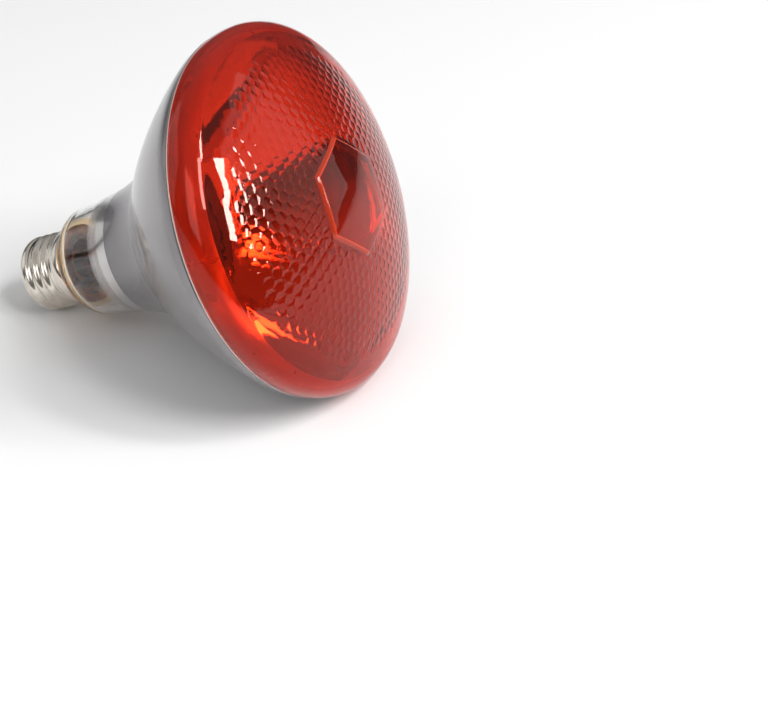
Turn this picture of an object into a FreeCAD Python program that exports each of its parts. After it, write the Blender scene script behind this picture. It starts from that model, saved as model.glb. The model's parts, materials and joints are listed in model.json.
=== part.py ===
import FreeCAD, Part
import os
from math import acos, asin, atan2, cos, degrees, pi, radians, sin, sqrt, tan

# Infrared heat lamp bulb with a pressed glass reflector and a screw cap.
# Millimetres. Each piece is built along the lamp's own axis, with the tip of
# the contact at height 0 and the front lens on top, and is then laid down on
# the cap and the bowl as the lamp rests on a table.

# Outline of the glass, outer sizes, from the cap to the front
neck_dia = 38.0
neck_taper = 6.1          # degrees
neck_length = 10.8        # from the shoulder to where the neck widens
flare_length = 24.8       # from there to the crease behind the bowl
crease_dia = 55.7
crease_round = 5.0
bowl_length = 46.2        # from the crease to the rim
bowl_round = 160.9        # along the bowl, from the crease to the edge round
bowl_edge_round = 19.0
seam_drop = 4.8           # lens and bowl are fused this far below the rim
lamp_dia = 121.0
rim_round = 7.75          # from the rim onto the dome
dome_rise = 21.4          # from the rim to the middle of the dome
seal_height = 16.0        # lower end of the neck tube, inside the cap

# Glass
bulb_wall = 2.4
lens_wall = 3.0
window_radius = 19.5      # hexagonal window, corner to centre
window_rise = 0.9
window_bevel = 0.8
window_turn = 46.0        # degrees about the axis, from the side that lies down

# Cap
cap_dia = 26.3            # over the thread
cap_length = 25.0         # from the tip of the contact to the rim
collar_step = 0.3         # beyond the thread
collar_length = 3.2
rim_gap = 0.9             # between the rim of the cap and the foot of the shoulder
shell_wall = 0.5
nose_height = 6.6
nose_round = 2.0
insulator_top = 2.0       # glass inside the shell, above the nose round
insulator_wall = 3.2
contact_dia = 9.4
contact_height = 0.5
contact_thickness = 1.2
contact_chamfer = 0.5
contact_bore = 2.0
solder_dia = 6.0
cement_gap = 1.65         # between the shell and the neck tube
cement_depth = 9.5        # below the rim of the cap
cement_lip = 1.1          # beyond the rim of the cap
rim_solder_radius = 1.2

# Stem
stem_dia = 10.4
stem_wall = 1.1
flare_rim = 1.2           # thickness of the rim fused to the neck tube
flare_gap = 0.4           # between the flare and the neck tube
flare_top = 26.0
press_height = 40.0
press_length = 11.0
press_width = 13.0
press_thickness = 4.4
exhaust_dia = 3.8
exhaust_wall = 0.6
exhaust_tip = 8.6

# Mount
filament_ring_dia = 19.0
filament_dia = 1.8
filament_sweep = 248.0    # degrees of the open ring
lead_dia = 0.9
lead_rise = 7.0           # straight up from the press
lead_spread = 7.5         # height of the slanted part
lead_end = 3.6            # straight up to the filament
thin_wire_dia = 0.5
wire_joint = 5.0          # above the foot of the press
rod_dia = 3.2
rod_length = 9.0
button_dia = 5.6
button_length = 3.0
support_dia = 0.5
support_count = 3
shield_thickness = 0.4
shield_gap = 2.6          # above the press
shield_room = 0.1         # between its rim and the bore of the neck it passes through
shield_clearance = 0.3
clip_dia = 2.4
clip_length = 1.5
clip_gap = 0.4            # between a collar and the glass rod

V = FreeCAD.Vector
axis = V(0, 0, 1)
origin = V(0, 0, 0)


def at(radius, height):
    """A point of an outline: distance from the axis and height."""
    return V(radius, 0, height)


def line(start, end):
    return Part.LineSegment(start, end).toShape()


def lines(points):
    return [line(start, end) for start, end in zip(points, points[1:])]


def normal(slope):
    """Outward direction of a wall that leans out by slope radians as it rises."""
    return V(cos(slope), 0, -sin(slope))


def arc(centre, radius, start, end, side=1):
    """Part of a circle between two wall slopes; side is -1 where the wall is hollow."""
    points = [centre + normal(slope) * (radius * side) for slope in (start, (start + end) / 2, end)]
    return Part.Arc(*points).toShape()


def turned(edges):
    """The solid that a closed outline sweeps about the axis."""
    outline = Part.Wire(Part.__sortEdges__(edges))
    return Part.Face(outline).revolve(origin, axis, 360)


def turned_points(points):
    return turned(lines(points + points[:1]))


def circles_meet(centre_a, radius_a, centre_b, radius_b, nearby):
    """The meeting point of two circles that is nearer to a given point."""
    gap = centre_b - centre_a
    along = (gap.Length**2 + radius_a**2 - radius_b**2) / (2 * gap.Length)
    across = sqrt(radius_a**2 - along**2)
    foot = centre_a + gap * (along / gap.Length)
    offset = V(-gap.z, 0, gap.x) * (across / gap.Length)
    return min(foot + offset, foot - offset, key=nearby.distanceToPoint)


def slope_of(direction):
    """Wall slope whose outward normal points along a direction."""
    return atan2(-direction.z, direction.x)


# Cap, and the neck tube cemented into it
cap_radius = cap_dia / 2
collar_radius = cap_radius + collar_step
nose_centre = at(cap_radius - nose_round, nose_height + nose_round)
collar_height = cap_length - collar_length
contact_top = contact_height + contact_thickness
tube_radius = cap_radius - shell_wall - cement_gap
shoulder_round = neck_dia / 2 - tube_radius
shoulder_foot = cap_length + rim_gap
cement_radius = collar_radius + cement_lip
seat_slope = acos((cement_radius - tube_radius) / shoulder_round)

# Heights along the axis
shoulder_height = shoulder_foot + shoulder_round
flare_height = shoulder_height + neck_length
crease_height = flare_height + flare_length
rim_height = crease_height + bowl_length
seam_height = rim_height - seam_drop
lamp_length = rim_height + dome_rise + window_rise
press_top = press_height + press_length
joint_height = press_height + wire_joint
shield_height = press_top + shield_gap
focus_height = press_top + lead_rise + lead_spread + lead_end + filament_dia / 2

# Centres and slopes of the outer outline, from the cap to the rim
lamp_radius = lamp_dia / 2
taper = radians(neck_taper)
shoulder_centre = at(tube_radius, shoulder_height)
neck_start = shoulder_centre + normal(taper) * shoulder_round
neck_end = at(neck_start.x + (flare_height - neck_start.z) * tan(taper), flare_height)
crease = at(crease_dia / 2, crease_height)
edge_centre = at(lamp_radius - bowl_edge_round, rim_height)

flare_chord = crease - neck_end
flare_radius = flare_chord.Length / (2 * sin(atan2(flare_chord.x, flare_chord.z) - taper))
flare_centre = neck_end + normal(taper) * flare_radius
bowl_centre = circles_meet(edge_centre, bowl_round - bowl_edge_round, crease, bowl_round,
                           at(-bowl_round, rim_height + bowl_round))
edge_slope = slope_of(edge_centre - bowl_centre)
crease_centre = circles_meet(flare_centre, flare_radius - crease_round,
                             bowl_centre, bowl_round + crease_round, crease)
crease_start = slope_of(flare_centre - crease_centre)
crease_end = slope_of(crease_centre - bowl_centre)

# Dome of the lens, and the hexagonal window that stands on it
dome_radius = ((dome_rise**2 - rim_round**2 + (lamp_radius - rim_round)**2)
               / (2 * (dome_rise - rim_round)))
dome_centre = at(0, rim_height + dome_rise - dome_radius)
rim_centre = at(lamp_radius - rim_round, rim_height)
dome_edge = atan2(rim_centre.x, rim_centre.z - dome_centre.z) - pi / 2

# Stem and mount
stem_bore = stem_dia / 2 - stem_wall
lead_spacing = rod_dia + clip_dia + 2 * clip_gap
support_spacing = filament_sweep / (support_count + 1)
shield_dia = neck_dia - 2 * (bulb_wall + shield_room)


def seam_slope(inset):
    """Slope of the bowl's edge round where it meets the seam."""
    return asin(seam_drop / (bowl_edge_round - inset))


def bulb_curve(inset):
    """Neck and bowl from the shoulder to the seam, set in from the outer face."""
    shoulder_end = shoulder_centre + normal(taper) * (shoulder_round - inset)
    flare_start = flare_centre - normal(taper) * (flare_radius + inset)
    return [
        arc(shoulder_centre, shoulder_round - inset, seat_slope, taper),
        line(shoulder_end, flare_start),
        arc(flare_centre, flare_radius + inset, taper, crease_start, -1),
        arc(crease_centre, crease_round + inset, crease_start, crease_end, -1),
        arc(bowl_centre, bowl_round - inset, crease_end, edge_slope),
        arc(edge_centre, bowl_edge_round - inset, edge_slope, seam_slope(inset)),
    ]


def seam_point(inset):
    return edge_centre + normal(seam_slope(inset)) * (bowl_edge_round - inset)


def shoulder_start(inset):
    """Where the round of the shoulder begins, at the outer edge of the cement."""
    return shoulder_centre + normal(seat_slope) * (shoulder_round - inset)


def reflector_bulb():
    tube_bore = tube_radius - bulb_wall
    outer = lines([shoulder_start(0), at(tube_radius, shoulder_foot), at(tube_radius, seal_height)])
    end = line(at(tube_radius, seal_height), at(tube_bore, seal_height))
    inner = lines([at(tube_bore, seal_height), at(tube_bore, shoulder_foot + bulb_wall),
                   shoulder_start(bulb_wall)])
    seam = line(seam_point(0), seam_point(bulb_wall))
    return turned(outer + [end] + inner + bulb_curve(0) + bulb_curve(bulb_wall) + [seam])


def lens_curve(inset):
    """Rim and dome from the seam to the pole, set in from the outer face."""
    return [
        arc(edge_centre, bowl_edge_round - inset, seam_slope(inset), 0),
        arc(rim_centre, rim_round - inset, 0, dome_edge),
        arc(dome_centre, dome_radius - inset, dome_edge, -pi / 2),
    ]


def hexagon(radius, height):
    turns = [radians(window_turn + 60 * corner) for corner in range(7)]
    return Part.makePolygon([V(radius * cos(turn), radius * sin(turn), height) for turn in turns])


def lens_window():
    """Raised hexagon with bevelled sides, rooted in the middle of the wall."""
    top = lamp_length
    foot = dome_centre.z + dome_radius / 2
    spread = window_bevel / window_rise * (top - foot)
    sides = Part.makeLoft([hexagon(window_radius - window_bevel + spread, foot),
                           hexagon(window_radius - window_bevel, top)], True, True)
    ball = Part.makeSphere(dome_radius + window_rise, dome_centre)
    root = Part.makeSphere(dome_radius - lens_wall / 2, dome_centre)
    return sides.common(ball).cut(root)


def front_lens():
    seam = line(seam_point(0), seam_point(lens_wall))
    pole = dome_centre + axis * dome_radius
    glass = turned(lens_curve(0) + lens_curve(lens_wall) + [seam, line(pole, pole - axis * lens_wall)])
    return glass.fuse(lens_window())


def cap_shell():
    """Shell whose nose is rolled in around the glass of the insulator."""
    lip = nose_centre.x - shell_wall
    seat = nose_height + shell_wall
    bore = cap_radius - shell_wall
    step = collar_height + shell_wall
    outside = lines([at(cap_radius, nose_centre.z), at(cap_radius, collar_height),
                     at(collar_radius, collar_height), at(collar_radius, cap_length)])
    inside = lines([at(collar_radius, cap_length),
                    at(collar_radius - shell_wall, cap_length),
                    at(collar_radius - shell_wall, step), at(bore, step), at(bore, nose_centre.z),
                    at(nose_centre.x, seat), at(lip, seat), at(lip, nose_height),
                    at(nose_centre.x, nose_height)])
    return turned([arc(nose_centre, nose_round, pi / 2, 0)] + outside + inside)


def cap_insulator():
    """Glass moulded into the nose of the shell, with the contact on its tip."""
    bore = contact_bore / 2
    lip = nose_centre.x - shell_wall
    top = nose_centre.z + insulator_top
    inner = cap_radius - shell_wall
    return turned_points([at(inner, nose_centre.z), at(inner, top), at(lip - insulator_wall, top),
                          at(contact_dia / 2 - insulator_wall / 2, contact_top + insulator_wall),
                          at(bore, contact_top + insulator_wall), at(bore, contact_top),
                          at(contact_dia / 2, contact_top), at(lip, nose_height),
                          at(lip, nose_height + shell_wall),
                          at(nose_centre.x, nose_height + shell_wall)])


def centre_contact():
    outer = contact_dia / 2
    bore = contact_bore / 2
    return turned_points([at(bore, contact_height), at(outer - contact_chamfer, contact_height),
                          at(outer, contact_height + contact_chamfer), at(outer, contact_top),
                          at(bore, contact_top)])


def contact_solder():
    """Dome on the contact, with a plug that fills its bore around the wire."""
    bore = contact_bore / 2
    radius = solder_dia / 2
    ball = (radius**2 + contact_height**2) / (2 * contact_height)
    half = asin(radius / ball) / 2
    dome = Part.Arc(origin, at(ball * sin(half), ball - ball * cos(half)),
                    at(radius, contact_height)).toShape()
    plug = lines([at(radius, contact_height), at(bore, contact_height), at(bore, contact_top),
                  at(0, contact_top), origin])
    return turned([dome] + plug).cut(contact_wire())


def basing_cement():
    """Cement between tube and shell, with a bead that shows above the rim of the cap."""
    shell_bore = cap_radius - shell_wall
    collar_bore = collar_radius - shell_wall
    step = collar_height + shell_wall
    foot = cap_length - cement_depth
    ring = turned_points([at(tube_radius, shoulder_foot), at(tube_radius, foot),
                          at(shell_bore, foot), at(shell_bore, step),
                          at(collar_bore, step), at(collar_bore, cap_length),
                          at(collar_radius, cap_length), shoulder_start(0)])
    return ring.cut([rim_wire(), rim_solder()])


def wire_along(points, diameter):
    """A round wire along straight runs with mitred corners."""
    section = Part.Wire(Part.makeCircle(diameter / 2, points[0], points[1] - points[0]))
    return Part.Wire(lines(points)).makePipeShell([section], True, False, 1)


def filament_points():
    """Corners of the filament: an end, one corner over each support, and the other end."""
    hooks = [(index - (support_count - 1) / 2) * support_spacing for index in range(support_count)]
    turns = [-filament_sweep / 2] + hooks + [filament_sweep / 2]
    ring = filament_ring_dia / 2
    return [V(ring * cos(radians(turn)), ring * sin(radians(turn)), focus_height) for turn in turns]


def lead(side):
    """Stout lead from inside the press to the underside of one filament end."""
    end, hook = filament_points()[:2] if side < 0 else filament_points()[:-3:-1]
    top = end + (hook - end).normalize() * (lead_dia / 2) - axis * (filament_dia / 2)
    foot = V(0, side * lead_spacing / 2, joint_height)
    bend = V(foot.x, foot.y, press_top + lead_rise)
    spread = V(top.x, top.y, bend.z + lead_spread)
    return wire_along([foot, bend, spread, top], lead_dia)


def contact_wire():
    """Thin wire from the press down to the solder on the contact."""
    side = lead_spacing / 2
    turn = contact_top + insulator_wall + thin_wire_dia
    return wire_along([V(0, -side, joint_height), V(0, -side, turn + side), V(0, 0, turn),
                       V(0, 0, contact_height + thin_wire_dia)], thin_wire_dia)


def rim_wire():
    """Thin wire from the press, out under the flare and up to the rim of the cap."""
    side = lead_spacing / 2
    turn = seal_height - flare_rim - 2 * thin_wire_dia
    up = (cap_radius - shell_wall + tube_radius) / 2
    over = cap_length + rim_gap / 2
    return wire_along([V(0, side, joint_height), V(0, side, turn), V(0, up, turn), V(0, up, over),
                       V(0, collar_radius + thin_wire_dia, over)], thin_wire_dia)


def rim_solder():
    """Bead over the end of the thin wire, on the rim of the cap."""
    ball = Part.makeSphere(rim_solder_radius, V(0, collar_radius, cap_length), V(0, 1, 1))
    cap = Part.makeCylinder(collar_radius, cap_length)
    return ball.cut([cap, rim_wire(), reflector_bulb()])


def stem():
    """Flare fused to the neck tube, a tube, and the press that seals the leads."""
    tube = stem_dia / 2
    flare = tube_radius - bulb_wall - flare_gap
    rim_foot = seal_height - flare_rim
    glass = turned_points([at(tube_radius, rim_foot), at(tube_radius, seal_height),
                           at(flare, seal_height), at(tube, flare_top), at(tube, press_height),
                           at(0, press_height), at(0, press_height - stem_wall),
                           at(stem_bore, press_height - stem_wall), at(stem_bore, flare_top),
                           at(flare - stem_wall, rim_foot)])
    half = press_thickness / 2
    reach = press_width / 2 - half
    sides = Part.makeBox(press_thickness, 2 * reach, press_length, V(-half, -reach, press_height))
    ends = [Part.makeCylinder(half, press_length, V(0, side * reach, press_height)) for side in (-1, 1)]
    sealed = [lead(-1), lead(1), contact_wire(), rim_wire()]
    glass = glass.fuse([sides] + ends).removeSplitter()
    return glass.cut(sealed)


def exhaust_tube():
    """Pumping tube below the press, closed at its tip."""
    outer = exhaust_dia / 2
    bore = outer - exhaust_wall
    top = press_height - stem_wall
    return turned_points([at(0, exhaust_tip), at(outer, exhaust_tip + outer), at(outer, top),
                          at(bore, top), at(bore, exhaust_tip + outer + exhaust_wall),
                          at(0, exhaust_tip + 2 * exhaust_wall)])


def support_height():
    return press_top + rod_length + button_length / 2


def support_wire(index):
    """Hook from the button to the underside of a corner of the filament."""
    corner = filament_points()[index + 1]
    outward = V(corner.x, corner.y, 0).normalize()
    middle = axis * support_height()
    bend = V(corner.x, corner.y, middle.z + (focus_height - middle.z) / 3)
    return wire_along([middle + outward * (button_dia / 4), bend,
                       corner - axis * (filament_dia / 2)], support_dia)


def support_rod():
    rod = rod_dia / 2
    button = button_dia / 2
    neck = press_top + rod_length
    top = neck + button_length
    bevel = button - rod
    glass = turned_points([at(0, press_top), at(rod, press_top), at(rod, neck),
                           at(button, neck + bevel / 2), at(button, top - bevel / 2),
                           at(rod, top), at(0, top)])
    return glass.cut([support_wire(index) for index in range(support_count)])


def filament():
    """Outer form of the coil, hung on the supports in an open ring about the axis."""
    return wire_along(filament_points(), filament_dia)


def heat_shield():
    disc = Part.makeCylinder(shield_dia / 2, shield_thickness, V(0, 0, shield_height))
    rod_hole = Part.makeCylinder(rod_dia / 2 + shield_clearance, shield_thickness,
                                 V(0, 0, shield_height))
    lead_holes = [Part.makeCylinder(lead_dia / 2, shield_thickness,
                                    V(0, side * lead_spacing / 2, shield_height)) for side in (-1, 1)]
    return disc.cut([rod_hole] + lead_holes)


def shield_clip(side):
    """Collar on a lead, under the heat shield."""
    foot = V(0, side * lead_spacing / 2, shield_height - clip_length)
    collar = Part.makeCylinder(clip_dia / 2, clip_length, foot)
    return collar.cut(Part.makeCylinder(lead_dia / 2, clip_length, foot))


# The lamp lies on a common tangent of the cap's nose and the bowl's edge
reach = edge_centre - nose_centre
tilt = acos((nose_round - bowl_edge_round) / reach.Length) - atan2(reach.z, reach.x)
lift = nose_centre.dot(V(cos(tilt), 0, -sin(tilt))) + nose_round


def laid_down(shape):
    shape.rotate(origin, V(0, 1, 0), 90 - degrees(tilt))
    shape.translate(V(0, 0, lift))
    return shape


pieces = {
    "front_lens": front_lens(),
    "reflector_bulb": reflector_bulb(),
    "cap_shell": cap_shell(),
    "cap_insulator": cap_insulator(),
    "centre_contact": centre_contact(),
    "contact_solder": contact_solder(),
    "rim_solder": rim_solder(),
    "basing_cement": basing_cement(),
    "stem": stem(),
    "exhaust_tube": exhaust_tube(),
    "contact_wire": contact_wire(),
    "rim_wire": rim_wire(),
    "lead_left": lead(-1),
    "lead_right": lead(1),
    "support_rod": support_rod(),
    "filament": filament(),
    "heat_shield": heat_shield(),
    "shield_clip_left": shield_clip(-1),
    "shield_clip_right": shield_clip(1),
}
for index in range(support_count):
    pieces["support_wire_%d" % (index + 1)] = support_wire(index)

# Origin below the middle of the whole lamp, on the table
for shape in pieces.values():
    laid_down(shape)
box = Part.makeCompound(list(pieces.values())).optimalBoundingBox(False, False)
middle = (box.XMin + box.XMax) / 2
os.makedirs("parts", exist_ok=True)
for name, shape in pieces.items():
    shape.translate(V(-middle, 0, 0))
    shape.exportStep("parts/%s.step" % name)
print("tilt %.3f lift %.3f middle %.3f" % (degrees(tilt), lift, middle))
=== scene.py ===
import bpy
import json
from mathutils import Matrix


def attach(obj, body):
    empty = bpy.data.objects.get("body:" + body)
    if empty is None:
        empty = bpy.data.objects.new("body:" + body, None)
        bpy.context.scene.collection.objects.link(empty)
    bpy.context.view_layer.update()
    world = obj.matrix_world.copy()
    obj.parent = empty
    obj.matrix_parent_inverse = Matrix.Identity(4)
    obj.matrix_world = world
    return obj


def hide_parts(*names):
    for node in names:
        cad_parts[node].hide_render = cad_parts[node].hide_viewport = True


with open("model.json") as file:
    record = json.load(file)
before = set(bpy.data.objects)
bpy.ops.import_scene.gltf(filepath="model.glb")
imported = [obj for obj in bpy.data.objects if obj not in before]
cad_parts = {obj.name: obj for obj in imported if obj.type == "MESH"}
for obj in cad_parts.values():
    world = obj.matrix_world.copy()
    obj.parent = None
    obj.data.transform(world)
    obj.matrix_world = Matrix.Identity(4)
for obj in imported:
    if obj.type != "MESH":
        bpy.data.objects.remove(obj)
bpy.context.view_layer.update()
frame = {"nodes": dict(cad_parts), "record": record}

import json
from math import asin, atan2, cos, pi, radians, sin, sqrt, tan

import bmesh
import bpy
from mathutils import Matrix, Vector

# Infrared heat lamp bulb, lying on its cap and on the edge of its bowl.
# Shapes are drawn in millimetres along the lamp's own axis, contact tip at
# height 0 and red front on top, and are then laid down where the frame lies.

mm = 0.001
fitGap = 0.02                                       # between pieces that seat on each other
mounts = {mount["name"]: mount for mount in frame["record"]["mounts"]}
contactTip = Vector(mounts["contact_face"]["pos_m"])
lampAxis = -Vector(mounts["screw_cap"]["axis"])
lean = Matrix.Rotation(atan2(lampAxis.x, lampAxis.z), 4, "Y")
layDown = Matrix.Translation(contactTip) @ lean @ Matrix.Scale(mm, 4)

# Materials

noiseLow, noiseHigh = 0.3, 0.7                      # nearly all of a noise texture lies between these


def newMaterial(name, **values):
    material = bpy.data.materials.new(name)
    material.use_nodes = True
    shader = material.node_tree.nodes["Principled BSDF"]
    for socket, value in values.items():
        shader.inputs[socket.replace("_", " ")].default_value = value
    return material, material.node_tree, shader


def alongLamp(tree, size):
    place = tree.nodes.new("ShaderNodeTexCoord")
    turn = tree.nodes.new("ShaderNodeMapping")
    turn.vector_type = "TEXTURE"                    # Z of the pattern runs along the lamp
    turn.inputs["Location"].default_value = contactTip
    turn.inputs["Rotation"].default_value = lean.to_euler()
    turn.inputs["Scale"].default_value = size
    tree.links.new(place.outputs["Object"], turn.inputs["Vector"])
    return turn.outputs["Vector"]


def noiseOn(tree, scale, detail=2.0, size=(1, 1, 1)):
    noise = tree.nodes.new("ShaderNodeTexNoise")
    noise.inputs["Scale"].default_value = scale
    noise.inputs["Detail"].default_value = detail
    tree.links.new(alongLamp(tree, size), noise.inputs["Vector"])
    return noise.outputs["Fac"]


def bumpFrom(tree, shader, value, height):
    bump = tree.nodes.new("ShaderNodeBump")
    bump.inputs["Distance"].default_value = height
    tree.links.new(value, bump.inputs["Height"])
    tree.links.new(bump.outputs["Normal"], shader.inputs["Normal"])


def spreadTo(tree, value, socket, low, high):
    spread = tree.nodes.new("ShaderNodeMapRange")
    spread.inputs["From Min"].default_value = noiseLow
    spread.inputs["From Max"].default_value = noiseHigh
    spread.inputs["To Min"].default_value = low
    spread.inputs["To Max"].default_value = high
    tree.links.new(value, spread.inputs["Value"])
    tree.links.new(spread.outputs["Result"], socket)


def coloursTo(tree, value, socket, stops):
    ramp = tree.nodes.new("ShaderNodeValToRGB")
    while len(ramp.color_ramp.elements) < len(stops):
        ramp.color_ramp.elements.new(0.5)
    for element, (position, colour) in zip(ramp.color_ramp.elements, stops):
        element.position = position
        element.color = (*colour, 1)
    tree.links.new(value, ramp.inputs["Fac"])
    tree.links.new(ramp.outputs["Color"], socket)


glassLook = {
    "ruby": (0.66, 0.022, 0.003, 1),
    "rubyGlint": (1.0, 0.55, 0.5, 1),
    "lining": (0.98, 0.88, 0.82, 1),
    # rim: a lighter, cloudy salmon lining on the rim's inner face; painted glow in place of the bright
    # crescent of light reflected through the rim
    "rimLining": (0.98, 0.66, 0.5, 1),
    "clear": (0.9, 0.89, 0.88, 1),
    "seat": (0.85, 0.5, 0.18, 1),
    "stem": (0.8, 0.52, 0.4, 1),
    # flare: amber cloudy tint on the stem's flare; painted reflection of the amber cement, which shows in
    # and through the flare
    "flare": (0.95, 0.48, 0.14, 1),
    # seam: cream cloudy glass along the fused seam; partly the seam's own frosted look, partly a painted
    # highlight for the bright line that light makes there
    "seam": (0.86, 0.8, 0.72, 1),
    # bevel: a cloudy, brighter copy of the ruby so the lamps light the window's bevel orange; painted glow
    # in place of light refracted through the bevel
    "bevel": (0.9, 0.07, 0.02, 1),
    "refraction": 1.5, "cloudScale": 150, "cloudSpread": 0.1,
}
silverLook = {
    "dark": (0.2, 0.185, 0.195), "light": (0.26, 0.242, 0.255), "metallic": 0.5, "roughness": (0.2, 0.27),
    "coat": 0.6, "coatRoughness": 0.03, "cloudScale": 40, "cloudDetail": 3.0, "cloudSize": (1, 1, 1.5),
}
filmLook = {
    "thin": (0.75, 0.74, 0.74, 1), "thinScale": 60, "thinRoughness": (0.1, 0.2),
    "mirror": (0.88, 0.88, 0.88, 1), "mirrorScale": 70, "mirrorRoughness": 0.05, "mirrorWaves": 0.0002,
}
metalGrain = {"scale": 300, "detail": 4.0, "height": 0.00004, "spread": 1.25}
cementLook = {
    "dark": (0.45, 0.15, 0.02), "amber": (0.8, 0.36, 0.05), "light": (0.95, 0.66, 0.22), "roughness": 0.4,
    "coat": 0.4, "coatRoughness": 0.1, "scale": 220, "detail": 5.0, "height": 0.0003,
}
noseLook = {"colour": (0.012, 0.012, 0.014, 1), "roughness": 0.12, "scale": 250, "waves": 0.0001}


def glass(name, colour, waviness, scale, glint=(1, 1, 1, 1)):
    material, tree, shader = newMaterial(name, Base_Color=colour, Roughness=0.0, Specular_Tint=glint,
                                         IOR=glassLook["refraction"], Transmission_Weight=1.0)
    bumpFrom(tree, shader, noiseOn(tree, scale), waviness)
    return material


def cloudyGlass(name, colour, share, roughness):
    material, tree, shader = newMaterial(name, Base_Color=colour, IOR=glassLook["refraction"],
                                         Transmission_Weight=share)
    spread = roughness * glassLook["cloudSpread"]
    spreadTo(tree, noiseOn(tree, glassLook["cloudScale"]), shader.inputs["Roughness"],
             roughness - spread, roughness + spread)
    return material


def silveredGlass():
    material, tree, shader = newMaterial("silveredGlass", Metallic=silverLook["metallic"],
                                         Coat_Weight=silverLook["coat"],
                                         Coat_Roughness=silverLook["coatRoughness"])
    cloud = noiseOn(tree, silverLook["cloudScale"], silverLook["cloudDetail"], silverLook["cloudSize"])
    spreadTo(tree, cloud, shader.inputs["Roughness"], *silverLook["roughness"])
    coloursTo(tree, cloud, shader.inputs["Base Color"],
              [(noiseLow, silverLook["dark"]), (noiseHigh, silverLook["light"])])
    return material


def thinFilm(name, share):
    material, tree, shader = newMaterial(name, Base_Color=filmLook["thin"], Metallic=share,
                                         IOR=glassLook["refraction"], Transmission_Weight=1.0)
    spreadTo(tree, noiseOn(tree, filmLook["thinScale"]), shader.inputs["Roughness"],
             *filmLook["thinRoughness"])
    return material


def mirrorFilm():
    material, tree, shader = newMaterial("mirrorFilm", Base_Color=filmLook["mirror"], Metallic=1.0,
                                         Roughness=filmLook["mirrorRoughness"])
    bumpFrom(tree, shader, noiseOn(tree, filmLook["mirrorScale"]), filmLook["mirrorWaves"])
    return material


def metal(name, dark, light, roughness, scale=metalGrain["scale"], height=metalGrain["height"]):
    material, tree, shader = newMaterial(name, Metallic=1.0)
    grain = noiseOn(tree, scale, metalGrain["detail"])
    spreadTo(tree, grain, shader.inputs["Roughness"],
             roughness / metalGrain["spread"], roughness * metalGrain["spread"])
    coloursTo(tree, grain, shader.inputs["Base Color"], [(noiseLow, dark), (noiseHigh, light)])
    bumpFrom(tree, shader, grain, height)
    return material


def bakedCement():
    material, tree, shader = newMaterial("bakedCement", Roughness=cementLook["roughness"],
                                         Coat_Weight=cementLook["coat"],
                                         Coat_Roughness=cementLook["coatRoughness"])
    grain = noiseOn(tree, cementLook["scale"], cementLook["detail"])
    coloursTo(tree, grain, shader.inputs["Base Color"],
              [(noiseLow, cementLook["dark"]), (0.5, cementLook["amber"]), (noiseHigh, cementLook["light"])])
    bumpFrom(tree, shader, grain, cementLook["height"])
    return material


def blackGlass():
    material, tree, shader = newMaterial("blackGlass", Base_Color=noseLook["colour"],
                                         Roughness=noseLook["roughness"])
    bumpFrom(tree, shader, noiseOn(tree, noseLook["scale"]), noseLook["waves"])
    return material


looks = {
    "ruby": glass("rubyGlass", glassLook["ruby"], 0.00006, 90, glassLook["rubyGlint"]),
    "lining": glass("lensLining", glassLook["lining"], 0.00015, 60),
    "rimLining": cloudyGlass("rimLining", glassLook["rimLining"], 0.4, 0.3),
    "clear": glass("clearGlass", glassLook["clear"], 0.0001, 80),
    "seat": glass("seatGlass", glassLook["seat"], 0.0001, 80),
    "stemGlass": glass("stemGlass", glassLook["stem"], 0.0001, 120),
    "flareGlass": cloudyGlass("flareGlass", glassLook["flare"], 0.25, 0.15),
    "seamGlass": cloudyGlass("seamGlass", glassLook["seam"], 0.3, 0.25),
    "bevelGlass": cloudyGlass("bevelGlass", glassLook["bevel"], 0.6, 0.08),
    "silvered": silveredGlass(),
    "filmEdge": thinFilm("filmEdge", 0.3),
    "filmFade": thinFilm("filmFade", 0.65),
    "mirror": mirrorFilm(),
    "nickelPlate": metal("nickelPlate", (0.68, 0.62, 0.55), (0.86, 0.81, 0.73), 0.17),
    "nickelWire": metal("nickelWire", (0.42, 0.41, 0.39), (0.6, 0.58, 0.55), 0.3),
    "copperWire": metal("copperWire", (0.5, 0.2, 0.09), (0.74, 0.36, 0.2), 0.3),
    "molybdenum": metal("molybdenum", (0.28, 0.28, 0.3), (0.42, 0.42, 0.44), 0.35),
    "tungsten": metal("tungsten", (0.12, 0.12, 0.13), (0.24, 0.24, 0.25), 0.45),
    "shieldPlate": metal("shieldPlate", (0.55, 0.27, 0.12), (0.72, 0.42, 0.2), 0.25),
    "brass": metal("contactBrass", (0.5, 0.34, 0.13), (0.7, 0.52, 0.25), 0.3),
    "solder": metal("solder", (0.4, 0.4, 0.41), (0.62, 0.62, 0.62), 0.35, 180, 0.0004),
    "cement": bakedCement(),
    "blackGlass": blackGlass(),
}
print("materials", len(looks))

# Shaping

weldDistance = 0.0005


def wallNormal(slope):
    return Vector((cos(slope), -sin(slope)))        # outward, of a wall that leans out as it rises


def arcPoints(centre, radius, start, end, steps):
    return [centre + wallNormal(start + (end - start) * step / steps) * radius for step in range(steps + 1)]


def spinOutline(outline, steps, closed=True):
    mesh = bmesh.new()
    corners = [mesh.verts.new((point[0], 0, point[1])) for point in outline]
    nextCorners = corners[1:] + (corners[:1] if closed else [])
    edges = [mesh.edges.new(pair) for pair in zip(corners, nextCorners)]
    bmesh.ops.spin(mesh, geom=corners + edges, cent=(0, 0, 0), axis=(0, 0, 1), angle=2 * pi,
                   steps=steps, use_merge=True)
    bmesh.ops.remove_doubles(mesh, verts=mesh.verts, dist=weldDistance)
    bmesh.ops.recalc_face_normals(mesh, faces=mesh.faces)
    return mesh


def shareFaces(mesh, pieceLooks, lookOf):
    for face in mesh.faces:
        face.material_index = pieceLooks.index(lookOf(face))


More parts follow.
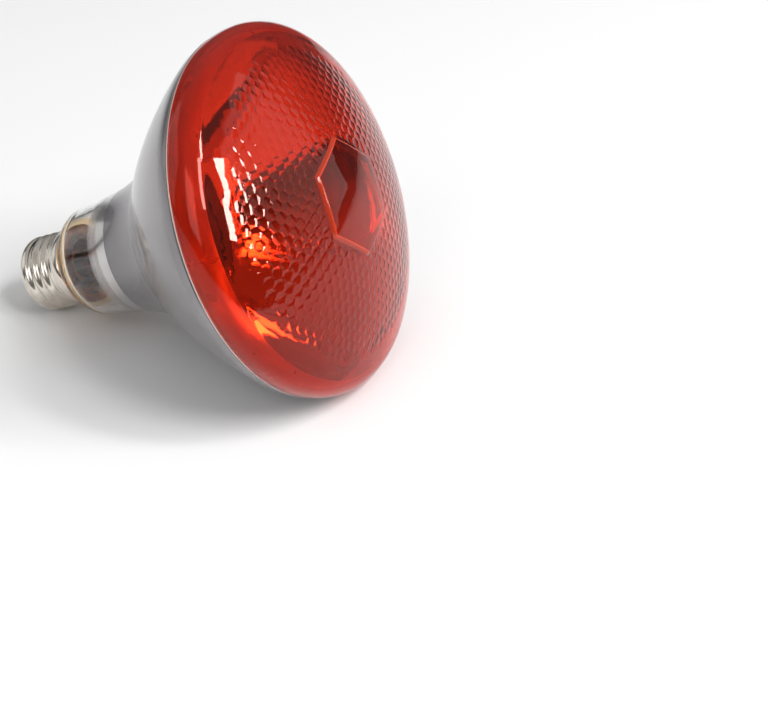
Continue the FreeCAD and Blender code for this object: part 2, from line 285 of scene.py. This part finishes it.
def finishPiece(mesh, name, pieceLooks, node, crispAngle=35):
    mesh.transform(layDown)
    data = bpy.data.meshes.new(name)
    mesh.to_mesh(data)
    mesh.free()
    for look in pieceLooks:
        data.materials.append(looks[look])
    data.shade_smooth()
    data.set_sharp_from_angle(angle=radians(crispAngle))
    piece = bpy.data.objects.new(name, data)
    bpy.context.scene.collection.objects.link(piece)
    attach(piece, "root")
    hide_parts(node)
    print(name, len(data.polygons), "faces")


# Outline of the glass

bulb = {
    "diameter": 121.0, "rimHeight": 115.7, "rimRound": 7.75, "domeTop": 137.1, "seamHeight": 110.9,
    "edgeRound": 19.0, "edgeSlope": 31.0, "creaseHeight": 69.5, "creaseDiameter": 55.7, "creaseRound": 5.0,
    "flareHeight": 44.7, "neckDiameter": 38.0, "neckTaper": 6.1, "shoulderRound": 8.0,
    "shoulderHeight": 33.9, "seatSlope": 63.7, "sealHeight": 16.0, "wall": 2.4, "seamLip": 0.35,
    "shoulderSteps": 9, "flareSteps": 12, "creaseSteps": 5, "bowlSteps": 24, "edgeSteps": 6, "steps": 144,
    "seatTop": 28.7, "filmStart": 44.0, "filmThicker": 48.0, "filmFull": 52.0,
    "looks": ["clear", "filmEdge", "filmFade", "silvered", "mirror", "seat"],
}
taper = radians(bulb["neckTaper"])
edgeSlope = radians(bulb["edgeSlope"])
seatSlope = radians(bulb["seatSlope"])
shoulderCentre = Vector((bulb["neckDiameter"] / 2 - bulb["shoulderRound"], bulb["shoulderHeight"]))
neckStart = shoulderCentre + wallNormal(taper) * bulb["shoulderRound"]
neckEnd = Vector((neckStart.x + (bulb["flareHeight"] - neckStart.y) * tan(taper), bulb["flareHeight"]))
crease = Vector((bulb["creaseDiameter"] / 2, bulb["creaseHeight"]))
edgeCentre = Vector((bulb["diameter"] / 2 - bulb["edgeRound"], bulb["rimHeight"]))
edgeStart = edgeCentre + wallNormal(edgeSlope) * bulb["edgeRound"]
flareChord = crease - neckEnd
flareRadius = flareChord.length / (2 * sin(atan2(flareChord.x, flareChord.y) - taper))
flareCentre = neckEnd + wallNormal(taper) * flareRadius
bowlChord = edgeStart - crease
bowlRadius = bowlChord.length / (2 * sin(atan2(bowlChord.x, bowlChord.y) - edgeSlope))
bowlCentre = edgeStart - wallNormal(edgeSlope) * bowlRadius


def circlesMeet(centreA, radiusA, centreB, radiusB, nearby):
    gap = centreB - centreA
    along = (gap.length**2 + radiusA**2 - radiusB**2) / (2 * gap.length)
    across = sqrt(radiusA**2 - along**2)
    offset = Vector((-gap.y, gap.x)) * (across / gap.length)
    foot = centreA + gap * (along / gap.length)
    return min(foot + offset, foot - offset, key=lambda point: (point - nearby).length)


def slopeOf(direction):
    return atan2(-direction.y, direction.x)


creaseCentre = circlesMeet(flareCentre, flareRadius - bulb["creaseRound"],
                           bowlCentre, bowlRadius + bulb["creaseRound"], crease)
creaseStart = slopeOf(flareCentre - creaseCentre)
creaseEnd = slopeOf(creaseCentre - bowlCentre)
rimCentre = Vector((bulb["diameter"] / 2 - bulb["rimRound"], bulb["rimHeight"]))
domeRise = bulb["domeTop"] - bulb["rimHeight"]
domeRadius = (domeRise**2 - bulb["rimRound"]**2 + rimCentre.x**2) / (2 * (domeRise - bulb["rimRound"]))
domeCentre = Vector((0, bulb["domeTop"] - domeRadius))
domeReach = atan2(rimCentre.x, rimCentre.y - domeCentre.y)
domeEdge = domeReach - pi / 2


def seamSlope(inset):
    return asin((bulb["rimHeight"] - bulb["seamHeight"]) / (bulb["edgeRound"] - inset))


def seamPoint(inset):
    return edgeCentre + wallNormal(seamSlope(inset)) * (bulb["edgeRound"] - inset)


def bulbWall(inset):
    return (arcPoints(shoulderCentre, bulb["shoulderRound"] - inset, seatSlope, taper, bulb["shoulderSteps"])
            + arcPoints(flareCentre, -flareRadius - inset, taper, creaseStart, bulb["flareSteps"])
            + arcPoints(creaseCentre, -bulb["creaseRound"] - inset, creaseStart, creaseEnd,
                        bulb["creaseSteps"])[1:]
            + arcPoints(bowlCentre, bowlRadius - inset, creaseEnd, edgeSlope, bulb["bowlSteps"])[1:]
            + arcPoints(edgeCentre, bulb["edgeRound"] - inset, edgeSlope, seamSlope(inset),
                        bulb["edgeSteps"])[1:])


def bulbLook(face):
    middle = face.calc_center_median()
    if middle.z < bulb["seatTop"]:
        return "seat"
    if middle.z < bulb["filmStart"]:
        return "clear"
    if middle.z < bulb["filmThicker"]:
        return "filmEdge"
    if middle.z < bulb["filmFull"]:
        return "filmFade"
    return "silvered" if face.normal.xy.dot(middle.xy) > 0 else "mirror"


def makeReflectorBulb():
    tubeRadius = shoulderCentre.x
    wall = bulb["wall"]
    lip = bulb["seamLip"]
    outer = bulbWall(0)
    inner = bulbWall(wall)
    outer[-1] -= (outer[-1] - outer[-2]).normalized() * lip
    inner[-1] -= (inner[-1] - inner[-2]).normalized() * lip
    seam = [seamPoint(lip), seamPoint(wall - lip)]
    foot = shoulderCentre.y - bulb["shoulderRound"]
    below = [Vector((tubeRadius, bulb["sealHeight"])), Vector((tubeRadius, foot))]
    above = [Vector((tubeRadius - wall, foot + wall)), Vector((tubeRadius - wall, bulb["sealHeight"]))]
    mesh = spinOutline(below + outer + seam + inner[::-1] + above, bulb["steps"])
    shareFaces(mesh, bulb["looks"], bulbLook)
    finishPiece(mesh, "silveredBulb", bulb["looks"], "reflector_bulb")


# Front lens: a honeycomb of shallow dimples, a raised hexagonal window and a smooth rim

lens = {
    "wall": 3.0, "turn": 46.0, "cellPitch": 3.7, "cellZone": 49.5, "cellWeld": 0.01, "fullCell": 0.97,
    "partCell": 0.6, "cellInsets": ((0.22, 0.042), (0.4, 0.06), (0.5, 0.036)), "cellCentre": 0.009,
    "windowRadius": 19.5, "windowBevel": 1.2, "windowWeld": 0.12,
    "windowSteps": ((0.05, 0.1), (0.75, 0.76), (0.95, 0.86), (1.2, 0.9),
                    (4, 0.9), (8, 0.9), (12, 0.9), (15.5, 0.9)),    # inset and rise, from the window's edge
    "rimPlanes": 120, "rimSteps": 9, "edgeSteps": 5, "innerEdgeSteps": 4, "innerRimSteps": 7,
    "innerRings": 14, "seamBand": 0.9,
    "looks": ["ruby", "lining", "seamGlass", "bevelGlass", "rimLining"],
}
cellSide = lens["cellPitch"] / sqrt(3)
cellArea = 1.5 * sqrt(3) * cellSide**2
windowApothem = lens["windowRadius"] * cos(pi / 6)
lensEdge = sin(domeReach) * domeRadius


def domeHeight(radius):
    return domeCentre.y + sqrt(domeRadius**2 - radius**2)


def flatDirection(degrees):
    return Vector((cos(radians(degrees)), sin(radians(degrees)), 0))


windowSides = [flatDirection(lens["turn"] + 30 + 60 * side) for side in range(6)]


def insideWindow(point):
    return windowApothem - max(point.dot(outward) for outward in windowSides)


def honeycombDisc():
    mesh = bmesh.new()
    along = flatDirection(lens["turn"]) * lens["cellPitch"]
    across = flatDirection(lens["turn"] + 60) * lens["cellPitch"]
    reach = int(lensEdge / (lens["cellPitch"] * sin(pi / 3))) + 2
    turn = Matrix.Rotation(radians(lens["turn"]), 4, "Z")
    for row in range(-reach, reach + 1):
        for column in range(-reach, reach + 1):
            centre = along * column + across * row
            if centre.length < lensEdge + lens["cellPitch"]:
                bmesh.ops.create_circle(mesh, cap_ends=True, radius=cellSide, segments=6,
                                        matrix=Matrix.Translation(centre) @ turn)
    bmesh.ops.remove_doubles(mesh, verts=mesh.verts, dist=lens["cellWeld"])
    for step in range(lens["rimPlanes"]):
        outward = flatDirection(360 * step / lens["rimPlanes"])
        bmesh.ops.bisect_plane(mesh, geom=mesh.verts[:] + mesh.edges[:] + mesh.faces[:],
                               plane_co=outward * lensEdge, plane_no=outward, clear_outer=True)
    for face in mesh.faces:
        if face.normal.z < 0:
            face.normal_flip()
    return mesh


def openWindow(mesh):
    for outward in windowSides:
        sideways = Vector((-outward.y, outward.x, 0))
        crossed = []
        for face in mesh.faces:
            middle = face.calc_center_median()
            near = abs(middle.dot(outward) - windowApothem) < lens["cellPitch"]
            if near and abs(middle.dot(sideways)) < lens["windowRadius"] / 2 + lens["cellPitch"]:
                crossed.append(face)
        touched = {part for face in crossed for part in list(face.verts) + list(face.edges)}
        bmesh.ops.bisect_plane(mesh, geom=crossed + list(touched), plane_co=outward * windowApothem,
                               plane_no=outward)
    inside = [face for face in mesh.faces if insideWindow(face.calc_center_median()) > 0]
    bmesh.ops.delete(mesh, geom=inside, context="FACES")
    bmesh.ops.remove_doubles(mesh, verts=mesh.verts, dist=lens["windowWeld"])


def pressDimples(mesh):
    cells = []
    parts = []
    for face in mesh.faces:
        if face.calc_center_median().length < lens["cellZone"]:
            share = face.calc_area() / cellArea
            if share > lens["fullCell"] and len(face.verts) == 6:
                cells.append(face)
            elif share > lens["partCell"]:
                parts.append(face)
    for thickness, depth in lens["cellInsets"]:
        for faces, even in ((cells, True), (parts, False)):
            bmesh.ops.inset_individual(mesh, faces=faces, thickness=thickness, depth=-depth,
                                       use_even_offset=even)
    bmesh.ops.poke(mesh, faces=cells + parts, offset=-lens["cellCentre"])
    print("dimples", len(cells), "and", len(parts), "cut ones")


def newRing(mesh, edges, place):
    made = bmesh.ops.extrude_edge_only(mesh, edges=edges)["geom"]
    for part in made:
        if isinstance(part, bmesh.types.BMVert):
            part.co = place(part.co)
    return [part for part in made if isinstance(part, bmesh.types.BMEdge)]


def closeRing(mesh, edges):
    cap = bmesh.ops.contextual_create(mesh, geom=edges)["faces"]
    bmesh.ops.poke(mesh, faces=cap)


def raiseWindow(mesh):
    ring = [edge for edge in mesh.edges
            if edge.is_boundary and edge.verts[0].co.length < lens["cellZone"] / 2]
    reached = windowApothem
    for inset, rise in lens["windowSteps"]:
        factor = (windowApothem - inset) / reached
        reached = windowApothem - inset
        ring = newRing(mesh, ring, lambda co: Vector((co.x * factor, co.y * factor, rise)))
    closeRing(mesh, ring)


def onCircle(point, radius, height):
    return Vector((*(point.xy.normalized() * radius), height))


def lensLook(face):
    centre = face.calc_center_median()
    if face.normal.dot(centre - Vector((0, 0, bulb["seamHeight"]))) <= 0:
        # inner faces near the rim get the lighter cloudy lining: painted glow in place of light reflected
        # through the rim
        return "rimLining" if centre.xy.length > lensEdge - lens["wall"] else "lining"
    # the band next to the seam: frosted seam and painted highlight
    if centre.z < bulb["seamHeight"] + lens["seamBand"]:
        return "seamGlass"
    # the window's bevel gets the cloudy ruby copy: painted glow
    if 0 < insideWindow(centre) < lens["windowBevel"]:
        return "bevelGlass"
    return "ruby"


def makeFrontLens():
    mesh = honeycombDisc()
    openWindow(mesh)
    pressDimples(mesh)
    raiseWindow(mesh)
    for vert in mesh.verts:
        vert.co.z += domeHeight(min(vert.co.xy.length, lensEdge))
    ring = [side for side in mesh.edges if side.is_boundary]
    wall = lens["wall"]
    lip = bulb["seamLip"]
    outer = (arcPoints(rimCentre, bulb["rimRound"], domeEdge, 0, lens["rimSteps"])
             + arcPoints(edgeCentre, bulb["edgeRound"], 0, seamSlope(0), lens["edgeSteps"])[1:])
    inner = (arcPoints(edgeCentre, bulb["edgeRound"] - wall, seamSlope(wall), 0, lens["innerEdgeSteps"])
             + arcPoints(rimCentre, bulb["rimRound"] - wall, 0, domeEdge, lens["innerRimSteps"])[1:])
    outer[-1] += Vector((0, lip))
    inner[0] += Vector((0, lip))
    rings = lens["innerRings"]
    turns = [domeReach * (1 - step / rings) for step in range(1, rings)]
    dome = [domeCentre + Vector((sin(turn), cos(turn))) * (domeRadius - wall) for turn in turns]
    for vert in {vert for side in ring for vert in side.verts}:
        vert.co = onCircle(vert.co, *outer[0])
    for radius, height in outer[1:] + [seamPoint(lip), seamPoint(wall - lip)] + inner + dome:
        ring = newRing(mesh, ring, lambda co: onCircle(co, radius, height))
    closeRing(mesh, ring)
    bmesh.ops.recalc_face_normals(mesh, faces=mesh.faces)
    shareFaces(mesh, lens["looks"], lensLook)
    finishPiece(mesh, "rubyLens", lens["looks"], "front_lens", crispAngle=50)


# Screw cap: rolled thread, plain collar, black glass nose with the contact, amber cement bead

cap = {
    "crest": 26.3, "root": 24.4, "pitch": 3.629, "threadStart": 8.9, "threadEnd": 21.5, "threadFade": 1.0,
    "rowHeight": 0.33, "noseHeight": 6.6, "noseRound": 2.0, "noseRadius": 11.15, "noseSteps": 6,
    "noseInnerSteps": 4, "collar": 26.9, "collarHeight": 21.8, "collarLedge": 0.1, "collarBevel": 0.2,
    "rimHeight": 25.0, "rimRoll": 0.25, "rimBevel": 0.1, "wall": 0.5, "steps": 96,
}


def threadDepth(height, turn):
    fade = min(1, max(0, (height - cap["threadStart"]) / cap["threadFade"]),
               max(0, (cap["threadEnd"] - height) / cap["threadFade"]))
    wave = 0.5 - 0.5 * cos(2 * pi * height / cap["pitch"] - turn)
    return fade * wave * (cap["crest"] - cap["root"]) / 2


def makeScrewCap():
    crest = cap["crest"] / 2
    collar = cap["collar"] / 2
    wall = cap["wall"]
    step = cap["collarHeight"]
    roll = cap["rimRoll"]
    rim = cap["rimHeight"]
    noseCentre = Vector((cap["noseRadius"], cap["noseHeight"] + cap["noseRound"]))
    threadLength = cap["threadEnd"] - cap["threadStart"]
    rows = int(threadLength / cap["rowHeight"])
    heights = [cap["threadStart"] + threadLength * row / rows for row in range(rows + 1)]
    outer = ([Vector((noseCentre.x - wall, cap["noseHeight"]))]
             + arcPoints(noseCentre, cap["noseRound"], pi / 2, 0, cap["noseSteps"])
             + [Vector((crest, height)) for height in heights]
             + [Vector((crest + cap["collarLedge"], step)), Vector((collar, step + cap["collarBevel"])),
                Vector((collar, rim - roll)), Vector((collar - roll, rim))])
    inner = ([Vector((collar - wall, rim - cap["rimBevel"])), Vector((collar - wall, step + wall)),
              Vector((crest - wall, step))]
             + [Vector((crest - wall, height)) for height in heights[::-1]]
             + arcPoints(noseCentre, cap["noseRound"] - wall, 0, pi / 2, cap["noseInnerSteps"])
             + [Vector((noseCentre.x - wall, cap["noseHeight"] + wall))])
    mesh = spinOutline(outer + inner, cap["steps"])
    for vert in mesh.verts:
        if cap["threadStart"] < vert.co.z < cap["threadEnd"]:
            factor = 1 - threadDepth(vert.co.z, atan2(vert.co.y, vert.co.x)) / vert.co.xy.length
            vert.co.x *= factor
            vert.co.y *= factor
    finishPiece(mesh, "screwShell", ["nickelPlate"], "cap_shell", crispAngle=60)


contact = {"radius": 4.7, "height": 0.5, "top": 1.7, "bore": 1.0, "round": 0.6, "roundSteps": 4, "steps": 64}


def makeContact():
    corner = Vector((contact["radius"] - contact["round"], contact["height"] + contact["round"]))
    outline = ([(contact["bore"], contact["height"])]
               + arcPoints(corner, contact["round"], pi / 2, 0, contact["roundSteps"])
               + [(contact["radius"], contact["top"]), (contact["bore"], contact["top"])])
    finishPiece(spinOutline(outline, contact["steps"]), "tipContact", ["brass"],
                "centre_contact")


tipSolder = {"radius": 3.0, "domeSteps": 8, "steps": 64}


def makeTipSolder():
    shares = [step / tipSolder["domeSteps"] for step in range(tipSolder["domeSteps"] + 1)]
    dome = [(tipSolder["radius"] * share, contact["height"] * share**2) for share in shares]
    plug = [(contact["bore"], contact["height"]), (contact["bore"], contact["top"]), (0, contact["top"])]
    mesh = spinOutline(dome + plug, tipSolder["steps"], closed=False)
    finishPiece(mesh, "tipSolder", ["solder"], "contact_solder", crispAngle=70)


nose = {
    "top": 10.6, "wall": 3.2, "waistRadius": 5.4, "waistRise": 0.5, "lipInset": 0.6, "lipDrop": 0.5,
    "steps": 64,
}


def makeNose():
    lip = cap["noseRadius"] - cap["wall"]
    inner = cap["crest"] / 2 - cap["wall"]
    seat = cap["noseHeight"] + cap["wall"]
    foot = contact["top"]
    wall = nose["wall"]
    outline = [(contact["bore"], foot), (contact["radius"], foot),
               (nose["waistRadius"], foot + nose["waistRise"]),
               (lip - nose["lipInset"], cap["noseHeight"] - nose["lipDrop"]),
               (lip, cap["noseHeight"]), (lip, seat), (cap["noseRadius"], seat),
               (inner, cap["noseHeight"] + cap["noseRound"]), (inner, nose["top"]),
               (lip - wall, nose["top"]), (contact["radius"] - wall / 2, foot + wall),
               (contact["bore"], foot + wall)]
    finishPiece(spinOutline(outline, nose["steps"]), "noseGlass", ["blackGlass"],
                "cap_insulator", crispAngle=50)


cement = {
    "foot": 15.5, "lap": 0.1, "bulge": 0.35, "beadSteps": 6, "lumps": 0.12, "lumpsAround": 5.1,
    "lumpMargin": 0.1, "steps": 120,
}


def makeCement():
    tube = shoulderCentre.x + fitGap
    shellBore = cap["crest"] / 2 - cap["wall"] - (cap["crest"] - cap["root"]) / 2
    collarBore = cap["collar"] / 2 - cap["wall"]
    ledge = cap["collarHeight"] + cap["wall"]
    rim = cap["rimHeight"]
    start = Vector((cap["collar"] / 2 - cement["lap"], rim + fitGap))
    end = shoulderCentre + wallNormal(seatSlope) * bulb["shoulderRound"]
    outward = Vector((end.y - start.y, start.x - end.x)).normalized() * cement["bulge"]
    shares = [step / cement["beadSteps"] for step in range(cement["beadSteps"] + 1)]
    bead = [start.lerp(end, share) + outward * sin(pi * share) for share in shares]
    outline = ([(tube, shoulderCentre.y - bulb["shoulderRound"]), (tube, cement["foot"]),
                (shellBore, cement["foot"]), (shellBore, ledge),
                (collarBore, ledge + cap["collarBevel"]), (collarBore, rim)] + bead)
    mesh = spinOutline(outline, cement["steps"])
    margin = cement["lumpMargin"]
    for vert in mesh.verts:
        if vert.co.z > rim + margin and vert.co.xy.length < end.x - margin:
            wave = sin(cement["lumpsAround"] * atan2(vert.co.y, vert.co.x) + vert.co.z)
            vert.co += vert.normal * cement["lumps"] * wave
    finishPiece(mesh, "cementBead", ["cement"], "basing_cement", crispAngle=60)


rimSolder = {"radius": 1.15, "inset": 0.1, "subdivisions": 3}


def makeRimSolder():
    place = Vector((0, cap["collar"] / 2 + rimSolder["inset"], cap["rimHeight"] - rimSolder["inset"]))
    drop = bmesh.new()
    bmesh.ops.create_icosphere(drop, subdivisions=rimSolder["subdivisions"], radius=rimSolder["radius"],
                               matrix=Matrix.Translation(place))
    finishPiece(drop, "rimSolder", ["solder"], "rim_solder")


# Stem and mount, seen through the clear neck and the lens

stem = {
    "flareRadius": 8.2, "flareFoot": 14.8, "flareTop": 26.0, "flareRows": 8, "tubeRadius": 5.2, "wall": 1.1,
    "pressHeight": 40.0, "pressTop": 51.0, "pressWidth": 13.0, "pressThickness": 4.4, "pressLead": 2.0,
    "pressRows": 10, "topBevel": 0.6, "pinch": 4.0, "pinchLead": 1.0, "steps": 64,
    "hollowEnd": ((0.0, 1.5), (0.7, 2.2), (1.0, 4.0)),    # share of the bore, depth below the press
    "looks": ["stemGlass", "flareGlass"],
}


# the flare gets the amber tint: painted reflection of the cement
def stemLook(face):
    return "flareGlass" if face.calc_center_median().z < stem["flareTop"] else "stemGlass"


def makeStem():
    tube = stem["tubeRadius"]
    wall = stem["wall"]
    seal = bulb["sealHeight"]
    shares = [row / stem["flareRows"] for row in range(stem["flareRows"] + 1)]
    flare = [(stem["flareRadius"] + (tube - stem["flareRadius"]) * sin(share * pi / 2),
              seal + (stem["flareTop"] - seal) * share) for share in shares]
    inside = [(radius - wall, height) for radius, height in flare[::-1]]
    start = stem["pressHeight"] - stem["pressLead"]
    rise = stem["pressTop"] - stem["topBevel"] - start
    press = [(tube, start + rise * row / stem["pressRows"]) for row in range(stem["pressRows"] + 1)]
    outline = ([(stem["flareRadius"] - wall, stem["flareFoot"]), (shoulderCentre.x, stem["flareFoot"]),
                (shoulderCentre.x, seal - fitGap)] + flare + press
               + [(tube - stem["topBevel"], stem["pressTop"]), (0, stem["pressTop"])])
    hollow = [((tube - wall) * share, stem["pressHeight"] - depth) for share, depth in stem["hollowEnd"]]
    mesh = spinOutline(hollow + inside + outline, stem["steps"], closed=False)
    for vert in mesh.verts:
        share = (vert.co.z - stem["pressHeight"] + stem["pinchLead"]) / stem["pinch"]
        share = min(1, max(0, share))
        share = share * share * (3 - 2 * share)
        vert.co.x *= 1 + share * (stem["pressThickness"] / 2 / tube - 1)
        vert.co.y *= 1 + share * (stem["pressWidth"] / 2 / tube - 1)
    shareFaces(mesh, stem["looks"], stemLook)
    finishPiece(mesh, "stemGlass", stem["looks"], "stem", crispAngle=50)


rod = {"radius": 1.6, "length": 9.0, "button": 2.8, "buttonLength": 3.0, "buttonSteps": 10, "steps": 32}


def makeRod():
    foot = stem["pressTop"] + fitGap
    neck = foot + rod["length"]
    shares = [step / rod["buttonSteps"] for step in range(rod["buttonSteps"] + 1)]
    button = [(rod["radius"] + (rod["button"] - rod["radius"]) * sin(pi * share),
               neck + rod["buttonLength"] * share) for share in shares]
    outline = [(0, foot), (rod["radius"], foot)] + button + [(0, neck + rod["buttonLength"])]
    finishPiece(spinOutline(outline, rod["steps"], closed=False), "supportRod", ["clear"],
                "support_rod", crispAngle=50)


coil = {
    "height": 70.0, "ring": 9.5, "corners": (-124.0, -62.0, 0.0, 62.0, 124.0),
    "radius": 0.72, "wire": 0.17, "pitch": 0.8, "pointsPerTurn": 10,
}


def makeCoil():
    corners = [flatDirection(turn) * coil["ring"] + Vector((0, 0, coil["height"]))
               for turn in coil["corners"]]
    points = []
    for start, end in zip(corners, corners[1:]):
        run = end - start
        side = run.normalized().cross(Vector((0, 0, 1)))
        count = round(run.length / coil["pitch"]) * coil["pointsPerTurn"]
        for step in range(count):
            turn = 2 * pi * step / coil["pointsPerTurn"]
            offset = side * cos(turn) + Vector((0, 0, sin(turn)))
            points.append(start + run * (step / count) + offset * coil["radius"])
    curve = bpy.data.curves.new("coilPath", "CURVE")
    curve.dimensions = "3D"
    curve.bevel_depth = coil["wire"]
    curve.bevel_resolution = 1
    curve.use_fill_caps = True
    path = curve.splines.new("POLY")
    path.points.add(len(points) - 1)
    for target, point in zip(path.points, points):
        target.co = (*point, 1)
    holder = bpy.data.objects.new("coilPath", curve)
    mesh = bmesh.new()
    mesh.from_mesh(bpy.data.meshes.new_from_object(holder))
    bpy.data.objects.remove(holder)
    finishPiece(mesh, "filamentCoil", ["tungsten"], "filament", crispAngle=80)


cadLooks = {
    "exhaust_tube": "clear", "contact_wire": "copperWire", "rim_wire": "copperWire",
    "lead_left": "nickelWire", "lead_right": "nickelWire", "heat_shield": "shieldPlate",
    "shield_clip_left": "nickelWire", "shield_clip_right": "nickelWire",
    "support_wire_1": "molybdenum", "support_wire_2": "molybdenum", "support_wire_3": "molybdenum",
}


def dressNodes():
    for node, look in cadLooks.items():
        data = frame["nodes"][node].data
        data.materials.clear()
        data.materials.append(looks[look])
    print("dressed", len(cadLooks), "packed nodes")


makeReflectorBulb()
makeFrontLens()
makeScrewCap()
makeNose()
makeContact()
makeTipSolder()
makeCement()
makeRimSolder()
makeStem()
makeRod()
makeCoil()
dressNodes()

# Floor, light and camera

studio = {
    "floorSize": 3.0, "floorColour": (0.93, 0.93, 0.93, 1), "floorRoughness": 0.9,
    "worldShades": [(0.25, (0.12, 0.12, 0.12)), (0.8, (0.45, 0.45, 0.45))], "aim": (0, 0, 0.05),
    "viewFrom": (0.2335, -0.4150, 0.3019), "viewTilt": 56.62, "viewTurn": 21.80, "lens": 76.34,
}
lamps = {
    "stripLight": {"low": (1.92, 0.0, 0.75), "high": (1.51, 0.42, 1.36), "width": 0.15, "strength": 15},
    "softBox": {"low": (1.32, -0.72, 1.27), "high": (1.0, -0.26, 1.67), "width": 0.4, "strength": 13},
    "spotLight": {"low": (1.26, -0.02, 1.55), "high": (0.96, 0.06, 1.75), "width": 0.22, "strength": 8},
    "sidePanel": {"low": (2.16, 1.48, 0.16), "high": (1.56, 1.08, 1.68), "width": 1.6, "strength": 7.2},
    "frontPanel": {"low": (-0.17, -1.75, 0.6), "high": (-0.1, -1.2, 1.6), "width": 1.0, "strength": 6},
    "backPanel": {"low": (-2.0, -0.36, 0.12), "high": (-1.7, -0.25, 1.2), "width": 1.4, "strength": 3},
}


def makeFloor():
    mesh = bmesh.new()
    bmesh.ops.create_grid(mesh, x_segments=1, y_segments=1, size=studio["floorSize"])
    data = bpy.data.meshes.new("floor")
    mesh.to_mesh(data)
    mesh.free()
    material, tree, shader = newMaterial("paperFloor", Base_Color=studio["floorColour"],
                                         Roughness=studio["floorRoughness"])
    data.materials.append(material)
    floor = bpy.data.objects.new("floor", data)
    bpy.context.scene.collection.objects.link(floor)


def makeLamps():
    for name, values in lamps.items():
        low = Vector(values["low"])
        high = Vector(values["high"])
        data = bpy.data.lights.new(name, "AREA")
        data.shape = "RECTANGLE"
        data.size = values["width"]
        data.size_y = (high - low).length
        data.energy = values["strength"]
        lamp = bpy.data.objects.new(name, data)
        along = (high - low).normalized()
        middle = (low + high) / 2
        across = along.cross(middle - Vector(studio["aim"])).normalized()
        turn = Matrix((across, along, across.cross(along))).transposed()
        lamp.matrix_world = Matrix.Translation(middle) @ turn.to_4x4()
        bpy.context.scene.collection.objects.link(lamp)


def makeWorld():
    world = bpy.data.worlds.new("studioWorld")
    world.use_nodes = True
    tree = world.node_tree
    place = tree.nodes.new("ShaderNodeTexCoord")
    parts = tree.nodes.new("ShaderNodeSeparateXYZ")
    tree.links.new(place.outputs["Generated"], parts.inputs["Vector"])
    coloursTo(tree, parts.outputs["Z"], tree.nodes["Background"].inputs["Color"], studio["worldShades"])
    bpy.context.scene.world = world


def makeCamera():
    data = bpy.data.cameras.new("camera")
    data.lens = studio["lens"]
    camera = bpy.data.objects.new("camera", data)
    camera.location = studio["viewFrom"]
    camera.rotation_euler = (radians(studio["viewTilt"]), 0, radians(studio["viewTurn"]))
    bpy.context.scene.collection.objects.link(camera)
    bpy.context.scene.camera = camera


makeFloor()
makeLamps()
makeWorld()
makeCamera()
bpy.context.scene.view_settings.view_transform = "Standard"
print("floor, lamps and camera")
